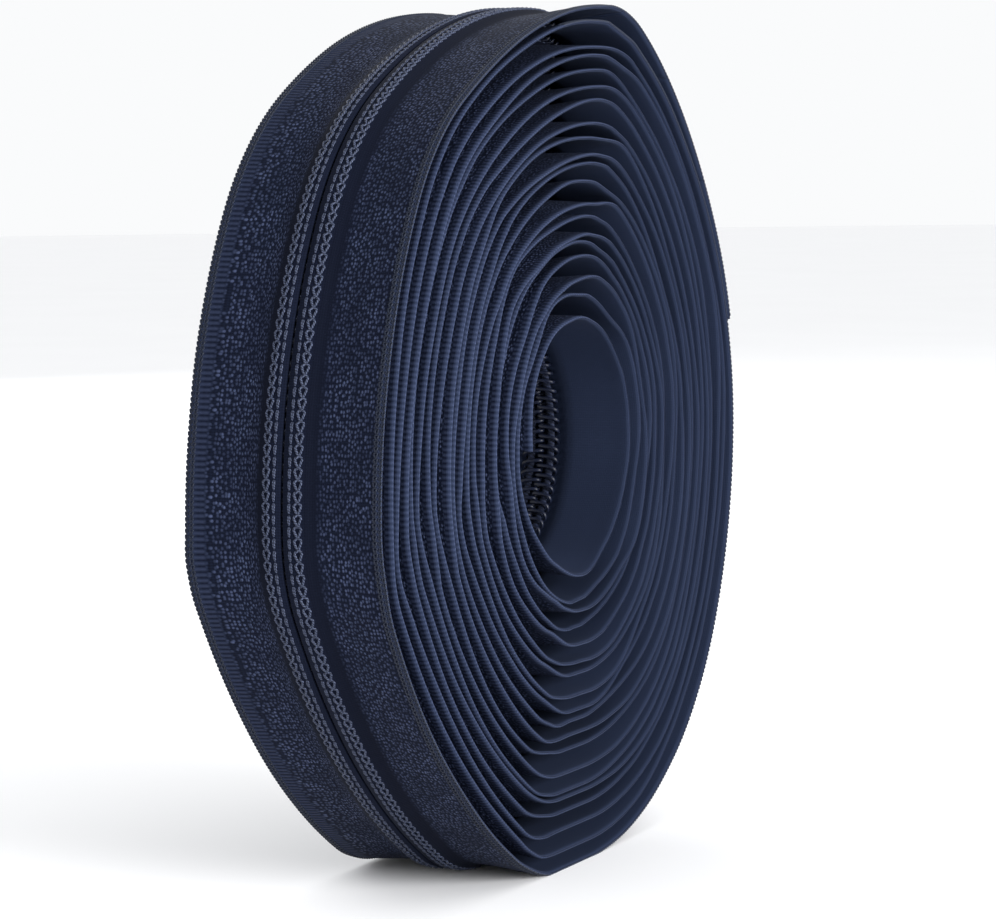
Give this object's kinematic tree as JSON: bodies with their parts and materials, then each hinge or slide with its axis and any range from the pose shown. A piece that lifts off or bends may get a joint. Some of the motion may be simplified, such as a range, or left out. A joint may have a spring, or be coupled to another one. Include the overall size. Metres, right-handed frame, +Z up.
{
  "type": "zipper chain roll",
  "caption": "Roll of continuous nylon coil zipper chain, wound edge to edge with its coils inwards and standing on its rim, with a free end that peels off and parts.",
  "frame": {"origin": "on the standing surface, under the middle of the roll", "axes": "+Z up; the roll's axis lies along Y, so the flat faces of the roll look along -Y and +Y; the chain's left tape is on -Y; its free end leaves the roll on the +X side"},
  "size_m": [0.1312, 0.03, 0.1289],
  "materials": {
    "tape": "woven polyester tape, dyed navy",
    "coil": "dyed nylon monofilament, satin",
    "cord": "spun polyester core cord, dyed navy",
    "thread": "twisted polyester sewing thread, dyed navy"
  },
  "bodies": {
    "roll": {"left_tape": "tape", "left_coil": "coil", "left_core_cord": "cord", "left_inner_stitch": "thread", "left_outer_stitch": "thread", "right_tape": "tape", "right_coil": "coil", "right_core_cord": "cord", "right_inner_stitch": "thread", "right_outer_stitch": "thread"},
    "free_length_1": {"left_tape_free_1": "tape", "left_coil_free_1": "coil", "left_core_cord_free_1": "cord", "left_inner_stitch_free_1": "thread", "left_outer_stitch_free_1": "thread", "right_tape_free_1": "tape", "right_coil_free_1": "coil", "right_core_cord_free_1": "cord", "right_inner_stitch_free_1": "thread", "right_outer_stitch_free_1": "thread"},
    "free_length_2": {"left_tape_free_2": "tape", "left_coil_free_2": "coil", "left_core_cord_free_2": "cord", "left_inner_stitch_free_2": "thread", "left_outer_stitch_free_2": "thread", "right_tape_free_2": "tape", "right_coil_free_2": "coil", "right_core_cord_free_2": "cord", "right_inner_stitch_free_2": "thread", "right_outer_stitch_free_2": "thread"},
    "left_end": {"left_tape_end": "tape", "left_coil_end": "coil", "left_core_cord_end": "cord", "left_inner_stitch_end": "thread", "left_outer_stitch_end": "thread"},
    "right_end": {"right_tape_end": "tape", "right_coil_end": "coil", "right_core_cord_end": "cord", "right_inner_stitch_end": "thread", "right_outer_stitch_end": "thread"}
  },
  "joints": [
    {"name": "peel", "type": "hinge", "parent": "roll", "child": "free_length_1", "pos_m": [0.02855, 0, 0.1251], "axis": [0, -1, 0], "range_deg": [0, 75]},
    {"name": "uncurl", "type": "hinge", "parent": "free_length_1", "child": "free_length_2", "pos_m": [0.04641, 0, 0.11134], "axis": [0, -1, 0], "range_deg": [0, 20]},
    {"name": "part_left", "type": "hinge", "parent": "free_length_2", "child": "left_end", "pos_m": [0.05974, -0.0024, 0.09321], "axis": [-0.8674, 0, -0.4977], "range_deg": [0, 10]},
    {"name": "part_right", "type": "hinge", "parent": "free_length_2", "child": "right_end", "pos_m": [0.05974, 0.0024, 0.09321], "axis": [0.8674, 0, 0.4977], "range_deg": [0, 10]}
  ],
  "couplings": [
    {"joint": "uncurl", "follows": "peel", "ratio": 0.25},
    {"joint": "part_right", "follows": "part_left", "ratio": 1}
  ]
}
